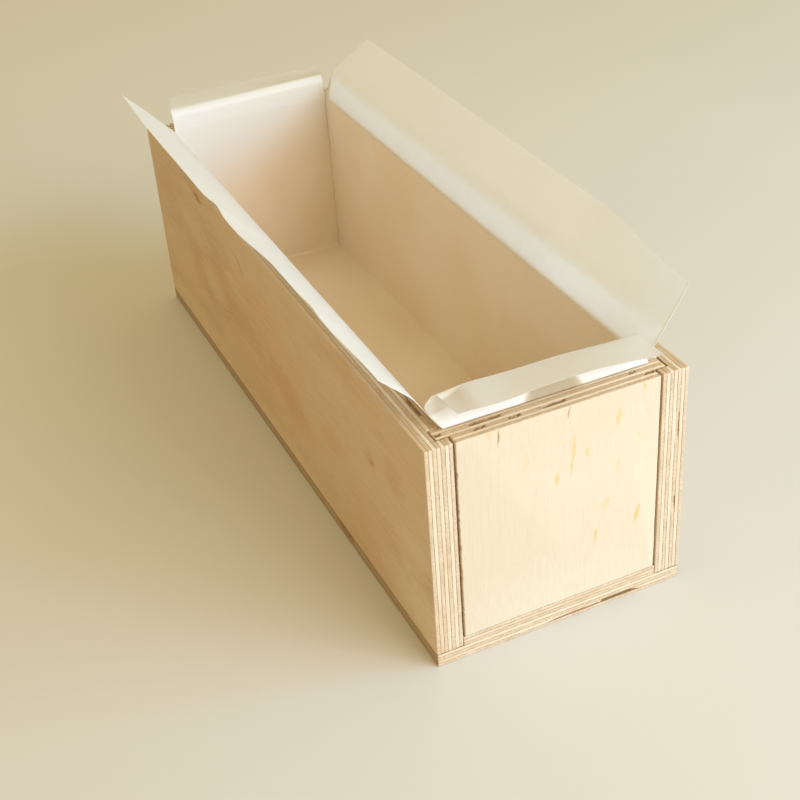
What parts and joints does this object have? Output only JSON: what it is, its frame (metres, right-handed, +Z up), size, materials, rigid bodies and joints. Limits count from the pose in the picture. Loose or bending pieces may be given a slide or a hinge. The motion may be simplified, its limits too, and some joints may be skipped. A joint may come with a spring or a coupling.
{
  "type": "soap loaf mould",
  "caption": "Long rectangular plywood mould for casting a soap loaf, with end panels that slide up out of grooves and a folded paper liner.",
  "frame": {"origin": "middle of the underside of the base, on the surface the mould stands on", "axes": "+Y along the loaf from the front end to the rear end, +X to the right seen from the front end, +Z up"},
  "size_m": [0.1095, 0.2778, 0.106],
  "materials": {
    "face_veneer": "sanded, unfinished birch face veneer",
    "core_veneer": "sawn birch veneer, same grain as the faces",
    "cross_veneer": "sawn birch veneer, grain turned a quarter",
    "liner_paper": "translucent white baking paper, matt"
  },
  "bodies": {
    "box": {"left_side_ply_1": "face_veneer", "left_side_ply_2": "cross_veneer", "left_side_ply_3": "core_veneer", "left_side_ply_4": "cross_veneer", "left_side_ply_5": "core_veneer", "left_side_ply_6": "cross_veneer", "left_side_ply_7": "face_veneer", "right_side_ply_1": "face_veneer", "right_side_ply_2": "cross_veneer", "right_side_ply_3": "core_veneer", "right_side_ply_4": "cross_veneer", "right_side_ply_5": "core_veneer", "right_side_ply_6": "cross_veneer", "right_side_ply_7": "face_veneer", "base_ply_1": "face_veneer", "base_ply_2": "cross_veneer", "base_ply_3": "core_veneer", "base_ply_4": "cross_veneer", "base_ply_5": "core_veneer", "base_ply_6": "cross_veneer", "base_ply_7": "face_veneer"},
    "front_end": {"front_end_ply_1": "face_veneer", "front_end_ply_2": "cross_veneer", "front_end_ply_3": "core_veneer", "front_end_ply_4": "cross_veneer", "front_end_ply_5": "core_veneer", "front_end_ply_6": "cross_veneer", "front_end_ply_7": "face_veneer"},
    "rear_end": {"rear_end_ply_1": "face_veneer", "rear_end_ply_2": "cross_veneer", "rear_end_ply_3": "core_veneer", "rear_end_ply_4": "cross_veneer", "rear_end_ply_5": "core_veneer", "rear_end_ply_6": "cross_veneer", "rear_end_ply_7": "face_veneer"},
    "cross_liner_sheet": {"cross_liner": "liner_paper"},
    "lengthwise_liner_sheet": {"lengthwise_liner": "liner_paper"}
  },
  "joints": [
    {"name": "front_end_lift", "type": "slide", "parent": "box", "child": "front_end", "axis": [0, 0, 1], "range_m": [0, 0.08], "deforming": ["lengthwise_liner"]},
    {"name": "rear_end_lift", "type": "slide", "parent": "box", "child": "rear_end", "axis": [0, 0, 1], "range_m": [0, 0.08], "deforming": ["lengthwise_liner"]},
    {"name": "cross_liner_lift", "type": "slide", "parent": "box", "child": "cross_liner_sheet", "axis": [0, 0, 1], "range_m": [0, 0.08]},
    {"name": "lengthwise_liner_lift", "type": "slide", "parent": "cross_liner_sheet", "child": "lengthwise_liner_sheet", "axis": [0, 0, 1], "range_m": [0, 0.08]}
  ]
}
